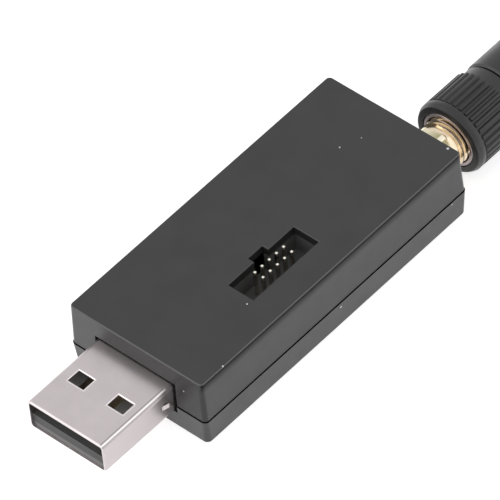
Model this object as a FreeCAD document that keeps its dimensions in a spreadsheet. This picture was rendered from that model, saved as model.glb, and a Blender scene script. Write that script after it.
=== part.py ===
import FreeCAD, Part
import math
import os
import re
import Sketcher
from FreeCAD import Vector

# A USB radio stick: a two-shell case with a USB-A plug at its front (-X), a keyed header
# under a cut-out in its roof, and a coaxial jack at its back (+X) that carries a knurled
# coupling and a tilt-and-swivel rod antenna. Millimetres, +Z up. The origin is the centre
# of the case's flat underside.

# Driving sizes: name, value, meaning.
SIZES = [
    ("case_length", 46.8, "lower shell, front to back, at the parting line"),
    ("case_width", 21.3, "lower shell, side to side, at the parting line"),
    ("case_height", 10.25, "underside to top face"),
    ("parting_height", 3.85, "underside to the rim of the lower shell"),
    ("wall", 1.5, "side walls of the lower shell"),
    ("floor_thickness", 1.2, "bottom of the lower shell"),
    ("roof_thickness", 1.2, "top of the upper shell"),
    ("upper_step", 0.1, "how far the upper shell stands in from the lower one"),
    ("lower_draft", 4.0, "draft of the lower shell, degrees"),
    ("upper_draft", 1.6, "draft of the upper shell, degrees"),
    ("corner_round", 0.7, "upright corners of the lower shell"),
    ("upper_corner_round", 0.6, "upright corners of the upper shell"),
    ("edge_round", 0.2, "edge round the underside and the top face"),
    ("inner_round", 0.5, "upright corners inside the shells"),
    ("seam_gap", 0.12, "shadow gap between the outer skins"),
    ("lip_thickness", 0.55, "lip of the lower shell"),
    ("lip_height", 0.9, "lip above the rim"),
    ("lip_clearance", 0.08, "play between the lip and the upper shell"),
    ("catch_length", 5.0, "snap catch along the lip"),
    ("catch_spacing", 25.0, "between the two catches of a side"),
    ("catch_depth", 0.2, "how far a catch stands out of the lip"),
    ("catch_height", 0.5, "root of a catch on the lip"),
    ("post_size", 1.5, "square posts that clamp the board"),
    ("post_inset", 0.2, "posts in from the edge of the board"),
    ("rear_post_setback", 4.6, "rear edge of the board to the middle of the rear posts"),
    ("board_height", 4.75, "underside to the upper face of the board"),
    ("board_thickness", 1.6, "circuit board"),
    ("board_gap", 0.3, "board to the walls round it"),
    ("cut_margin", 1.0, "how far a cut starts outside the shape"),
    ("plug_width", 12.0, "plug shell, outside"),
    ("plug_height", 4.5, "plug shell, outside"),
    ("plug_axis_height", 5.15, "underside to the middle of the plug"),
    ("plug_shift", 0.2, "middle of the plug off the middle of the case"),
    ("plug_reach", 11.95, "plug in front of the case"),
    ("plug_tail", 5.5, "plug behind the face of the case"),
    ("shell_thickness", 0.3, "sheet of the plug shell"),
    ("shell_bend", 0.6, "outer radius of the folds of the shell"),
    ("mouth_round", 0.28, "outer edge of the mouth of the shell"),
    ("fold_seam", 0.08, "gap where the edges of the sheet meet, under the plug"),
    ("window_length", 1.9, "latch windows, along the plug"),
    ("window_width", 2.4, "latch windows, across the plug"),
    ("window_spacing", 6.2, "between the middles of the windows"),
    ("window_start", 5.3, "mouth to the windows"),
    ("window_round", 0.22, "outer edges of the windows"),
    ("lance_radius", 0.6, "small lanced hole in each side of the shell"),
    ("lance_from_case", 1.25, "case front to the middle of the lanced hole"),
    ("barb_length", 0.95, "barb that is bent out of the lanced hole"),
    ("barb_width", 0.7, "barb, at its root"),
    ("barb_rise", 0.25, "tip of the barb out of the shell"),
    ("ear_length", 1.5, "solder ears of the shell, along the plug"),
    ("ear_reach", 1.6, "solder ears out from the shell"),
    ("ear_setback", 0.1, "ears in front of the rear edge of the shell"),
    ("plug_notch_gap", 0.2, "board round the plug"),
    ("port_gap_side", 0.3, "case opening beside the plug"),
    ("port_gap_top", 0.2, "case opening above the plug"),
    ("port_gap_bottom", 0.15, "case opening below the plug"),
    ("tongue_thickness", 1.84, "contact tongue in the mouth"),
    ("tongue_length", 8.9, "contact tongue, root to tip"),
    ("tongue_recess", 0.35, "tip of the tongue behind the mouth"),
    ("insulator_gap", 0.03, "insulator in the shell"),
    ("contact_thickness", 0.2, "contact strips"),
    ("contact_width", 1.0, "contact strips"),
    ("data_spacing", 2.0, "between the two middle strips"),
    ("power_spacing", 7.0, "between the two outer strips"),
    ("data_setback", 2.0, "tip of the tongue to the middle strips"),
    ("power_setback", 1.0, "tip of the tongue to the outer strips"),
    ("contact_foot", 1.2, "strip ends on the board"),
    ("header_from_front", 19.8, "case front to the middle of the header cut-out"),
    ("header_inset", 6.28, "case side to the middle of the header cut-out"),
    ("cutout_length", 11.55, "header cut-out in the roof"),
    ("cutout_width", 3.9, "header cut-out in the roof"),
    ("cutout_bevel", 0.08, "top edge of the header cut-out"),
    ("key_width", 2.5, "key notch of the cut-out"),
    ("key_depth", 0.95, "key notch of the cut-out"),
    ("header_wall", 0.8, "shroud of the header"),
    ("header_ledge", 0.1, "shroud cavity outside the cut-out"),
    ("header_roof_gap", 0.1, "shroud to the roof over it"),
    ("header_base", 1.6, "floor of the shroud"),
    ("pin_pitch", 1.27, "header pins, both ways"),
    ("pin_size", 0.4, "square header pins"),
    ("pin_fit", 0.02, "pins in the shroud, each side"),
    ("pin_drop", 0.2, "pin tips below the top face"),
    ("pin_tail", 1.0, "pins below the board"),
    ("pin_hole_radius", 0.35, "board holes of the pins"),
    ("pin_shift_x", 0.25, "pins off the middle of the cut-out"),
    ("pin_shift_y", 0.3, "pins off the middle of the cut-out"),
    ("part_gap", 1.0, "between neighbours on the board"),
    ("radio_chip_size", 7.0, "radio chip, square"),
    ("radio_chip_height", 0.9, "radio chip"),
    ("bridge_chip_size", 4.0, "usb bridge chip, square"),
    ("bridge_chip_height", 0.85, "usb bridge chip"),
    ("regulator_length", 1.6, "voltage regulator, along the case"),
    ("regulator_width", 2.9, "voltage regulator, across the case"),
    ("regulator_height", 1.1, "voltage regulator"),
    ("radio_crystal_length", 3.2, "crystal of the radio"),
    ("radio_crystal_width", 2.5, "crystal of the radio"),
    ("clock_crystal_length", 3.2, "slow crystal"),
    ("clock_crystal_width", 1.5, "slow crystal"),
    ("crystal_height", 0.8, "both crystals"),
    ("crystal_inset", 0.25, "edge of the board to the crystals"),
    ("capacitor_inset", 3.25, "edge of the board to the capacitors of the bridge chip"),
    ("resistor_gap", 2.0, "header to the row of resistors"),
    ("coil_setback", 5.4, "jack flange to the middle of the row of coils"),
    ("small_part_length", 1.0, "capacitors, resistors and coils"),
    ("small_part_width", 0.5, "capacitors, resistors and coils"),
    ("small_part_pitch", 1.6, "capacitors, resistors and coils"),
    ("capacitor_height", 0.5, "capacitors"),
    ("resistor_height", 0.35, "resistors"),
    ("coil_height", 0.55, "coils of the antenna filter"),
    ("led_length", 1.6, "status lamps"),
    ("led_width", 0.8, "status lamps"),
    ("led_height", 0.6, "status lamps"),
    ("led_setback", 1.6, "plug to the status lamps"),
    ("led_spacing", 13.0, "between the status lamps"),
    ("jack_inset", 6.16, "case side to the antenna axis"),
    ("jack_pin_radius", 0.4, "rear pin of the jack, which lies on the board"),
    ("jack_wall_gap", 0.9, "flange of the jack to the case wall"),
    ("jack_flange_size", 6.4, "square flange of the jack"),
    ("jack_flange_thickness", 1.5, "square flange of the jack"),
    ("jack_leg_length", 3.2, "legs that straddle the board"),
    ("jack_leg_width", 1.1, "legs that straddle the board"),
    ("jack_leg_height", 0.9, "legs that straddle the board"),
    ("jack_leg_spacing", 4.6, "between the middles of the legs"),
    ("jack_pin_length", 3.0, "rear pin over the board"),
    ("jack_hole_gap", 0.25, "case hole round the jack"),
    ("hex_radius", 3.25, "corner of the hexagon of the jack"),
    ("hex_turn", 20.0, "corner of the hexagon off the vertical, degrees"),
    ("hex_reach", 2.3, "hexagon behind the case"),
    ("relief_radius", 2.85, "thread relief"),
    ("relief_length", 0.35, "thread relief"),
    ("thread_radius", 3.175, "thread of the jack, over its crests"),
    ("thread_chamfer", 0.35, "lead-in of the thread"),
    ("jack_reach", 8.9, "jack behind the case"),
    ("jack_mouth_radius", 2.35, "counterbore in the end of the jack"),
    ("jack_mouth_depth", 0.8, "counterbore in the end of the jack"),
    ("dielectric_shoulder", 0.54, "flange to the step in the bore"),
    ("dielectric_radius", 2.05, "bore for the insulator of the jack"),
    ("dielectric_neck", 1.6, "rear bore of the jack"),
    ("socket_radius", 0.64, "centre contact of the jack"),
    ("socket_hole", 0.47, "hole of the centre contact"),
    ("socket_depth", 3.2, "hole of the centre contact"),
    ("bush_gap", 0.03, "insulators in their bores"),
    ("collar_start", 3.7, "case to the front rim of the grip"),
    ("collar_length", 8.55, "knurled grip"),
    ("collar_radius", 5.05, "grip over its ribs"),
    ("collar_rim_radius", 4.75, "front rim of the grip"),
    ("collar_bevel", 0.55, "bevel behind the rim"),
    ("rib_start", 1.3, "rim to the ribs"),
    ("rib_length", 5.7, "ribs of the grip"),
    ("rib_valley", 4.72, "radius between the ribs"),
    ("rib_base", 0.6, "width of a rib at its foot"),
    ("rib_crest", 0.3, "width of a rib at its crest"),
    ("neck_radius", 4.65, "plain band at the back of the grip"),
    ("nut_radius", 3.85, "coupling nut inside the grip"),
    ("nut_recess", 0.05, "nut behind the rim of the grip"),
    ("nut_mouth_radius", 3.3, "lead-in of the nut"),
    ("nut_mouth_depth", 0.8, "lead-in of the nut"),
    ("nut_web", 1.1, "inner flange of the nut"),
    ("nut_fit", 0.02, "nut in the grip"),
    ("thread_clearance", 0.06, "nut round the thread"),
    ("ferrule_flange_radius", 3.0, "flange of the antenna's ferrule"),
    ("ferrule_flange", 0.6, "flange of the antenna's ferrule"),
    ("ring_thickness", 0.5, "retaining ring"),
    ("ring_mouth", 1.2, "gap of the retaining ring"),
    ("stem_radius", 2.45, "stem of the ferrule"),
    ("running_gap", 0.05, "play of turning fits"),
    ("stem_grip", 2.2, "front wall of the swivel base"),
    ("stem_head_radius", 3.0, "flared head of the stem"),
    ("stem_head", 0.8, "flared head of the stem"),
    ("ferrule_bore", 2.0, "bore of the ferrule"),
    ("ferrule_bore_depth", 3.5, "bore of the ferrule"),
    ("ferrule_throat", 1.3, "bore of the stem"),
    ("centre_pin_radius", 0.45, "centre pin of the antenna"),
    ("centre_pin_reach", 3.0, "centre pin in front of the ferrule"),
    ("centre_pin_cup", 0.7, "solder cup of the centre pin"),
    ("centre_pin_step", 0.5, "ferrule face to the solder cup"),
    ("swivel_gap", 0.25, "grip to the swivel base"),
    ("swivel_radius", 4.8, "swivel base"),
    ("swivel_length", 11.0, "front of the swivel base to the hinge"),
    ("slot_width", 4.0, "fork of the swivel base"),
    ("slot_floor_gap", 0.3, "knuckle to the floor of the fork"),
    ("knuckle_radius", 4.2, "knuckle round the hinge"),
    ("knuckle_play", 0.1, "knuckle in the fork, each side"),
    ("hinge_radius", 1.0, "hinge pin"),
    ("hinge_length", 8.6, "hinge pin"),
    ("hinge_fit", 0.02, "hinge pin in the cheeks"),
    ("shoulder_gap", 0.3, "cheeks to the shoulder of the knuckle"),
    ("shoulder_length", 2.0, "round shoulder of the knuckle"),
    ("spigot_radius", 3.45, "spigot of the knuckle"),
    ("spigot_length", 6.0, "spigot of the knuckle"),
    ("spigot_gap", 0.03, "spigot in the sleeve"),
    ("edge_break", 0.25, "bevel on the rims of the swivel base and the rod"),
    ("whip_radius", 4.6, "sleeve of the rod, at its foot"),
    ("tip_radius", 3.75, "sleeve of the rod, at its tip"),
    ("tip_round", 2.5, "rounding of the tip"),
    ("tip_wall", 3.0, "end wall of the sleeve"),
    ("whip_bore", 2.7, "bore of the sleeve"),
    ("antenna_length", 108.0, "rim of the grip to the tip of the rod"),
    ("cable_radius", 0.565, "thin coaxial cable"),
    ("cable_gap", 0.25, "bores of the cable round it"),
    ("wire_radius", 0.2, "bare inner wire"),
    ("wire_length", 28.0, "bare inner wire"),
    ("radiator_radius", 2.4, "brass tube of the aerial"),
    ("radiator_wall", 0.3, "brass tube of the aerial"),
    ("radiator_length", 26.0, "brass tube of the aerial"),
    ("radiator_end", 0.5, "closed end of the tube"),
]

# Counts of repeated features.
PIN_COLUMNS = 5
PIN_ROWS = 2
RIB_COUNT = 34
CAPACITOR_COUNT = 4
RESISTOR_COUNT = 5
COIL_COUNT = 3

# Places worked out from the sizes.
PLACES = {
    "case_front": "-case_length / 2",
    "case_back": "case_length / 2",
    "inner_x": "case_length / 2 - wall",
    "inner_y": "case_width / 2 - wall",
    "upper_x": "case_length / 2 - upper_step",
    "upper_y": "case_width / 2 - upper_step",
    "lip_x": "inner_x + lip_thickness",
    "lip_y": "inner_y + lip_thickness",
    "lip_round": "inner_round + lip_thickness / 2",
    "lip_top": "parting_height + lip_height",
    "catch_middle": "parting_height + lip_height / 2 + seam_gap / 2",
    "ceiling": "case_height - roof_thickness",
    "board_bottom": "board_height - board_thickness",
    "board_x": "inner_x - board_gap",
    "board_y": "inner_y - board_gap",
    "wall_cut": "cut_margin + wall + board_gap",
    "post_y": "board_y - post_inset - post_size / 2",
    "front_post_x": "-board_x + post_inset + post_size / 2",
    "rear_post_x": "flange_front - rear_post_setback",
    "plug_front": "case_front - plug_reach",
    "plug_rear": "case_front + plug_tail",
    "plug_floor": "plug_axis_height - plug_height / 2 + shell_thickness",
    "plug_roof": "plug_axis_height + plug_height / 2 - shell_thickness",
    "lance_x": "case_front - lance_from_case",
    "port_y": "plug_width / 2 + port_gap_side",
    "port_sill": "plug_axis_height - plug_height / 2 - port_gap_bottom",
    "port_head": "plug_axis_height + plug_height / 2 + port_gap_top",
    "tongue_tip": "plug_front + tongue_recess",
    "tongue_root": "tongue_tip + tongue_length",
    "tongue_top": "plug_floor + tongue_thickness",
    "insulator_y": "plug_width / 2 - shell_thickness - insulator_gap",
    "notch_x": "plug_rear + plug_notch_gap",
    "notch_y": "plug_width / 2 + plug_notch_gap",
    "header_x": "case_front + header_from_front",
    "header_y": "header_inset - case_width / 2",
    "cavity_x": "cutout_length / 2 + header_ledge",
    "cavity_y": "cutout_width / 2 + header_ledge",
    "header_top": "ceiling - header_roof_gap",
    "pins_x": "header_x + pin_shift_x",
    "pins_y": "header_y + pin_shift_y",
    "header_end": "header_x + cavity_x + header_wall",
    "radio_chip_x": "header_end + part_gap + radio_chip_size / 2",
    "regulator_x": "header_x - cavity_x - header_wall - part_gap - regulator_length / 2",
    "radio_crystal_x": "radio_chip_x - radio_chip_size / 2 + radio_crystal_length / 2",
    "radio_crystal_y": "board_y - crystal_inset - radio_crystal_width / 2",
    "radio_chip_y": "radio_crystal_y - radio_crystal_width / 2 - part_gap - radio_chip_size / 2",
    "chip_row_y": "radio_chip_y - radio_chip_size / 2 - part_gap",
    "bridge_row_y": "board_y - capacitor_inset",
    "bridge_chip_y": "bridge_row_y - part_gap - bridge_chip_size / 2",
    "resistor_row_y": "header_y + cavity_y + header_wall + resistor_gap",
    "coil_row_x": "flange_front - coil_setback",
    "led_x": "notch_x + led_setback",
    "clock_crystal_x": "radio_crystal_x - radio_crystal_length / 2 - part_gap"
                       " - clock_crystal_length / 2",
    "jack_y": "jack_inset - case_width / 2",
    "axis_height": "board_height + jack_pin_radius",
    "flange_back": "inner_x - jack_wall_gap",
    "flange_front": "flange_back - jack_flange_thickness",
    "jack_hole": "hex_radius + jack_hole_gap",
    "hex_end": "case_back + hex_reach",
    "thread_start": "hex_end + relief_length",
    "jack_end": "case_back + jack_reach",
    "dielectric_step": "flange_back + dielectric_shoulder",
    "dielectric_end": "jack_end - jack_mouth_depth",
    "socket_step": "dielectric_step + jack_flange_thickness",
    "collar_front": "case_back + collar_start",
    "collar_back": "collar_front + collar_length",
    "ribs_front": "collar_front + rib_start",
    "ribs_back": "ribs_front + rib_length",
    "nut_front": "collar_front + nut_recess",
    "ring_front": "jack_end + ferrule_flange",
    "ring_back": "ring_front + ring_thickness",
    "nut_back": "ring_back + nut_web",
    "nut_bore": "thread_radius + thread_clearance",
    "stem_hole": "stem_radius + running_gap",
    "swivel_front": "collar_back + swivel_gap",
    "head_front": "swivel_front + stem_grip",
    "head_back": "head_front + stem_head + running_gap",
    "ferrule_step": "jack_end + ferrule_bore_depth",
    "hinge_x": "swivel_front + swivel_length",
    "slot_floor": "hinge_x - knuckle_radius - slot_floor_gap",
    "knuckle_y": "slot_width / 2 - knuckle_play",
    "shoulder_x": "hinge_x + swivel_radius + shoulder_gap",
    "whip_foot": "shoulder_x + shoulder_length",
    "spigot_end": "whip_foot + spigot_length",
    "whip_tip": "collar_front + antenna_length",
    "cable_hole": "cable_radius + cable_gap",
    "knuckle_bore": "hinge_x + hinge_radius + running_gap + cable_gap",
    "radiator_back": "spigot_end + radiator_length",
}

doc = FreeCAD.newDocument("radio_stick")
sheet = doc.addObject("Spreadsheet::Sheet", "Sizes")
for row, (alias, value, meaning) in enumerate(SIZES, 1):
    sheet.set(f"A{row}", meaning)
    sheet.set(f"B{row}", str(value))
    sheet.setAlias(f"B{row}", alias)
doc.recompute()

ALIASES = {alias for alias, value, meaning in SIZES}


def formula(text):
    """Write a formula out: places become their own formulas, sizes become cells."""

    def spell(match):
        word = match.group()
        if word in PLACES:
            return "(" + formula(PLACES[word]) + ")"
        return "Sizes." + word if word in ALIASES else word

    return re.sub("[a-z_]+", spell, text)


def number(text):
    """The present value of a formula."""
    return float(sheet.evalExpression(formula(text)))


def bind(item, name, text):
    """Tie a property to a formula."""
    item.setExpression(name, formula(text))


def new_body(label):
    body = doc.addObject("PartDesign::Body", label)
    body.Label = label
    return body


def to_antenna_axis(body):
    """Carry a body that is modelled round the X axis to the axis of the jack."""
    bind(body, "Placement.Base.y", "jack_y")
    bind(body, "Placement.Base.z", "axis_height")


def to_plug_middle(body):
    """Carry a body that is modelled on the middle plane to the middle of the plug."""
    bind(body, "Placement.Base.y", "plug_shift")


def new_sketch(body, name, role, offset="0"):
    """A sketch on one of the body's own origin planes, moved along its normal."""
    sketch = body.newObject("Sketcher::SketchObject", name)
    plane = next(item for item in body.Origin.OriginFeatures if item.Role == role)
    sketch.AttachmentSupport = [(plane, "")]
    sketch.MapMode = "FlatFace"
    bind(sketch, "AttachmentOffset.Base.z", offset)
    return sketch


def hold(sketch, kind, edge, end, text):
    """Hold a point at a distance from the sketch's origin."""
    constraint = Sketcher.Constraint(kind, -1, 1, edge, end, number(text))
    index = sketch.addConstraint(constraint)
    bind(sketch, f"Constraints[{index}]", text)


def hold_radius(sketch, edge, text):
    index = sketch.addConstraint(Sketcher.Constraint("Radius", edge, number(text)))
    bind(sketch, f"Constraints[{index}]", text)


def arc_between(start, end, radius, turn):
    """The arc from start to end that turns left (1) or right (-1)."""
    chord = end - start
    left = Vector(-chord.y, chord.x, 0).normalize()
    rise = math.sqrt(max(radius ** 2 - (chord.Length / 2) ** 2, 0))
    centre = (start + end) / 2 + left * rise * turn
    if turn < 0:
        start, end = end, start
    first = math.atan2(start.y - centre.y, start.x - centre.x)
    last = math.atan2(end.y - centre.y, end.x - centre.x)
    if last < first:
        last += 2 * math.pi
    return Part.ArcOfCircle(Part.Circle(centre, Vector(0, 0, 1), radius), first, last)


def outline(sketch, corners):
    """Draw a closed outline. A corner is x, y and, where an arc leaves it, radius, turn."""
    points = [Vector(number(corner[0]), number(corner[1]), 0) for corner in corners]
    first = sketch.GeometryCount
    count = len(corners)
    ends = []
    for index, corner in enumerate(corners):
        start = points[index]
        end = points[(index + 1) % count]
        if len(corner) == 2:
            sketch.addGeometry(Part.LineSegment(start, end))
            ends.append((1, 2))
        else:
            sketch.addGeometry(arc_between(start, end, number(corner[2]), corner[3]))
            ends.append((1, 2) if corner[3] > 0 else (2, 1))
    for index in range(count):
        following = (index + 1) % count
        here = (first + index, ends[index][1])
        there = (first + following, ends[following][0])
        sketch.addConstraint(Sketcher.Constraint("Coincident", *here, *there))
    for index, corner in enumerate(corners):
        hold(sketch, "DistanceX", first + index, ends[index][0], corner[0])
        hold(sketch, "DistanceY", first + index, ends[index][0], corner[1])
        if len(corner) > 2:
            hold_radius(sketch, first + index, corner[2])


def circle(sketch, x, y, radius):
    centre = Vector(number(x), number(y), 0)
    edge = sketch.addGeometry(Part.Circle(centre, Vector(0, 0, 1), number(radius)))
    hold(sketch, "DistanceX", edge, 3, x)
    hold(sketch, "DistanceY", edge, 3, y)
    hold_radius(sketch, edge, radius)


def rectangle(sketch, left, right, low, high):
    outline(sketch, [(left, low), (right, low), (right, high), (left, high)])


def centred_rectangle(sketch, x, y, length, width):
    """A rectangle round a point, with its full length and width."""
    rectangle(sketch, f"{x} - {length} / 2", f"{x} + {length} / 2",
              f"{y} - {width} / 2", f"{y} + {width} / 2")


def rounded_rectangle(sketch, half_x, half_y, radius, y="0"):
    """A rectangle with round corners, centred at height y."""
    left, right = f"-({half_x})", f"({half_x})"
    low, high = f"{y} - ({half_y})", f"{y} + ({half_y})"
    outline(sketch, [
        (f"{left} + {radius}", low),
        (f"{right} - {radius}", low, radius, 1),
        (right, f"{low} + {radius}"),
        (right, f"{high} - {radius}", radius, 1),
        (f"{right} - {radius}", high),
        (f"{left} + {radius}", high, radius, 1),
        (left, f"{high} - {radius}"),
        (left, f"{low} + {radius}", radius, 1),
    ])


def extrude(kind, body, name, sketch, length, backwards=False, taper=None):
    feature = body.newObject(kind, name)
    feature.Profile = sketch
    bind(feature, "Length", length)
    feature.Reversed = backwards
    if taper:
        bind(feature, "TaperAngle", taper)
    return feature


def pad(*arguments, **options):
    return extrude("PartDesign::Pad", *arguments, **options)


def pocket(*arguments, **options):
    return extrude("PartDesign::Pocket", *arguments, **options)


def turned(label, profile):
    """A body turned round the antenna axis; the profile is x and radius."""
    body = new_body(label)
    sketch = new_sketch(body, label + "_profile", "XZ_Plane")
    outline(sketch, profile)
    spin = body.newObject("PartDesign::Revolution", label + "_turned")
    spin.Profile = sketch
    spin.ReferenceAxis = (sketch, ["H_Axis"])
    spin.Angle = 360
    to_antenna_axis(body)
    return body


def edges_where(feature, test):
    doc.recompute()
    return [f"Edge{index}" for index, edge in enumerate(feature.Shape.Edges, 1) if test(edge)]


def fillet(body, name, feature, test, radius):
    """Round the edges of a feature that pass a test."""
    rounding = body.newObject("PartDesign::Fillet", name)
    rounding.Base = (feature, edges_where(feature, test))
    bind(rounding, "Radius", radius)
    return rounding


def bevel(body, name, feature, test, size):
    """Bevel the edges of a feature that pass a test."""
    cut = body.newObject("PartDesign::Chamfer", name)
    cut.Base = (feature, edges_where(feature, test))
    bind(cut, "Size", size)
    return cut


def is_upright(edge):
    return abs(edge.tangentAt(edge.FirstParameter).z) > 0.9


def lies_at(axis, place):
    """A test for edges that lie in a plane across an axis."""
    level = number(place)
    return lambda edge: all(abs(getattr(v.Point, axis) - level) < 1e-4 for v in edge.Vertexes)


def lies_within(axis, low, high):
    """A test for edges that lie wholly between two places on an axis."""
    first, last = number(low), number(high)
    return lambda edge: all(first < getattr(v.Point, axis) < last for v in edge.Vertexes)


def passes(*tests):
    """A test for edges that pass all of the given tests."""
    return lambda edge: all(test(edge) for test in tests)


def box(name, x, y, z, length, width, height):
    """A block with its lowest corner at x, y, z."""
    block = doc.addObject("Part::Box", name)
    bind(block, "Length", length)
    bind(block, "Width", width)
    bind(block, "Height", height)
    bind(block, "Placement.Base.x", x)
    bind(block, "Placement.Base.y", y)
    bind(block, "Placement.Base.z", z)
    return block


def group(label, pieces):
    """Several separate solids that share one node."""
    compound = doc.addObject("Part::Compound", label)
    compound.Label = label
    compound.Links = pieces
    return compound


# The case.

def catch_sketch(body, name, start, grow):
    """Two triangles, one on each side of the lip, that run along X from start."""
    sketch = new_sketch(body, name, "YZ_Plane", start)
    reach = f"lip_y + catch_depth + {grow}"
    foot = "lip_y - lip_thickness / 2"
    half = f"(catch_height / 2 + {grow})"
    for side in ("", "-"):
        outline(sketch, [
            (f"{side}({foot})", f"catch_middle - {half}"),
            (f"{side}({reach})", "catch_middle"),
            (f"{side}({foot})", f"catch_middle + {half}"),
        ])
    return sketch


def post_sketch(body, level):
    sketch = new_sketch(body, "post_places", "XY_Plane", level)
    for x in ("front_post_x", "rear_post_x"):
        for y in ("post_y", "-post_y"):
            centred_rectangle(sketch, x, y, "post_size", "post_size")
    return sketch


def cut_port(body):
    """The opening round the plug, through the front wall."""
    sketch = new_sketch(body, "port", "YZ_Plane", "case_front - cut_margin")
    rectangle(sketch, "plug_shift - port_y", "plug_shift + port_y", "port_sill", "port_head")
    pocket(body, "port_cut", sketch, "wall_cut", backwards=True)


def make_bottom_case():
    body = new_body("bottom_case")
    rim = new_sketch(body, "rim", "XY_Plane", "parting_height")
    rectangle(rim, "case_front", "case_back", "-case_width / 2", "case_width / 2")
    tub = pad(body, "tub", rim, "parting_height", backwards=True, taper="-lower_draft")
    corners = fillet(body, "corners", tub, is_upright, "corner_round")
    fillet(body, "bottom_edge", corners, lies_at("z", "0"), "edge_round")

    hollow = new_sketch(body, "hollow", "XY_Plane", "parting_height")
    rounded_rectangle(hollow, "inner_x", "inner_y", "inner_round")
    depth = "parting_height - floor_thickness"
    pocket(body, "hollow_cut", hollow, depth, taper="-lower_draft")

    lip = new_sketch(body, "lip", "XY_Plane", "parting_height")
    rounded_rectangle(lip, "lip_x", "lip_y", "lip_round")
    rounded_rectangle(lip, "inner_x", "inner_y", "inner_round")
    pad(body, "lip_ring", lip, "lip_height")
    for name, side in (("front_catch", "-"), ("rear_catch", "")):
        start = f"{side}catch_spacing / 2 - catch_length / 2"
        pad(body, name, catch_sketch(body, name + "_shape", start, "0"), "catch_length")

    pad(body, "posts", post_sketch(body, "floor_thickness"), "board_bottom - floor_thickness")
    cut_port(body)
    hole = new_sketch(body, "jack_hole", "YZ_Plane", "case_back + cut_margin")
    circle(hole, "jack_y", "axis_height", "jack_hole")
    pocket(body, "jack_hole_cut", hole, "wall_cut")
    return body


def make_top_cover():
    body = new_body("top_cover")
    foot = "parting_height + seam_gap"
    rim = new_sketch(body, "rim", "XY_Plane", foot)
    rectangle(rim, "-upper_x", "upper_x", "-upper_y", "upper_y")
    lid = pad(body, "lid", rim, f"case_height - ({foot})", taper="-upper_draft")
    corners = fillet(body, "corners", lid, is_upright, "upper_corner_round")
    fillet(body, "top_edge", corners, lies_at("z", "case_height"), "edge_round")

    hollow = new_sketch(body, "hollow", "XY_Plane", foot)
    rounded_rectangle(hollow, "inner_x", "inner_y", "inner_round")
    depth = f"ceiling - ({foot})"
    pocket(body, "hollow_cut", hollow, depth, backwards=True, taper="-upper_draft")

    rebate = new_sketch(body, "rebate", "XY_Plane", foot)
    rounded_rectangle(rebate, "lip_x + lip_clearance", "lip_y + lip_clearance", "lip_round")
    pocket(body, "rebate_cut", rebate, f"lip_top - ({foot})", backwards=True)
    for name, side in (("front_catch", "-"), ("rear_catch", "")):
        start = f"{side}catch_spacing / 2 - catch_length / 2 - lip_clearance"
        sketch = catch_sketch(body, name + "_shape", start, "lip_clearance")
        pocket(body, name, sketch, "catch_length + 2 * lip_clearance", backwards=True)

    pad(body, "posts", post_sketch(body, "board_height"), "ceiling - board_height")
    cut_port(body)
    arch = new_sketch(body, "jack_arch", "YZ_Plane", "case_back + cut_margin")
    outline(arch, [
        ("jack_y - jack_hole", "parting_height"),
        ("jack_y - jack_hole", "axis_height", "jack_hole", -1),
        ("jack_y", "axis_height + jack_hole", "jack_hole", -1),
        ("jack_y + jack_hole", "axis_height"),
        ("jack_y + jack_hole", "parting_height"),
    ])
    pocket(body, "jack_arch_cut", arch, "wall_cut")

    cutout = new_sketch(body, "header_cutout", "XY_Plane", "case_height")
    outline(cutout, keyed_corners("cutout_length / 2", "cutout_width / 2", "key_depth"))
    opening = pocket(body, "header_cut", cutout, "roof_thickness")
    rim_edges = passes(
        lies_at("z", "case_height"),
        lies_within("x", "header_x - cavity_x", "header_x + cavity_x"),
        lies_within("y", "header_y - cavity_y", "header_y + cavity_y + key_depth"))
    bevel(body, "cutout_rim", opening, rim_edges, "cutout_bevel")
    return body


def keyed_corners(half_x, half_y, key_depth):
    """Corners of the keyed header opening; the key notch is on its +Y side."""
    left, right = f"header_x - ({half_x})", f"header_x + ({half_x})"
    low, high = f"header_y - ({half_y})", f"header_y + ({half_y})"
    key_left, key_right = "header_x - key_width / 2", "header_x + key_width / 2"
    return [
        (left, low), (right, low), (right, high), (key_right, high),
        (key_right, f"{high} + {key_depth}"), (key_left, f"{high} + {key_depth}"),
        (key_left, high), (left, high),
    ]


# The circuit board and what is soldered to it.

def pin_places():
    """Middle of each header pin, as formulas."""
    places = []
    for column in range(PIN_COLUMNS):
        for line in range(PIN_ROWS):
            x = f"pins_x + {column - (PIN_COLUMNS - 1) / 2} * pin_pitch"
            y = f"pins_y + {line - (PIN_ROWS - 1) / 2} * pin_pitch"
            places.append((x, y))
    return places


def make_circuit_board():
    body = new_body("circuit_board")
    edge = new_sketch(body, "edge", "XY_Plane", "board_bottom")
    outline(edge, [
        ("-board_x", "-board_y"), ("flange_front", "-board_y"),
        ("flange_front", "board_y"), ("-board_x", "board_y"),
        ("-board_x", "plug_shift + notch_y"), ("notch_x", "plug_shift + notch_y"),
        ("notch_x", "plug_shift - notch_y"), ("-board_x", "plug_shift - notch_y"),
    ])
    for x, y in pin_places():
        circle(edge, x, y, "pin_hole_radius")
    pad(body, "laminate", edge, "board_thickness")
    return body


def chip(label, x, y, length, width, height):
    """A flat package on the board, round the point x, y."""
    body = new_body(label)
    sketch = new_sketch(body, label + "_outline", "XY_Plane", "board_height")
    centred_rectangle(sketch, x, y, length, width)
    pad(body, label + "_package", sketch, height)
    return body


def small_parts(label, places, length, width, height):
    """A node of like parts on the board; places holds x and y of their middles."""
    pieces = []
    for index, (x, y) in enumerate(places, 1):
        pieces.append(box(f"{label}_{index}", f"{x} - {length} / 2", f"{y} - {width} / 2",
                          "board_height", length, width, height))
    return group(label, pieces)


def row_of(count, x, y):
    """Places of a row of small parts along X, centred on x, y."""
    return [(f"{x} + {index - (count - 1) / 2} * small_part_pitch", y) for index in range(count)]


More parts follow.
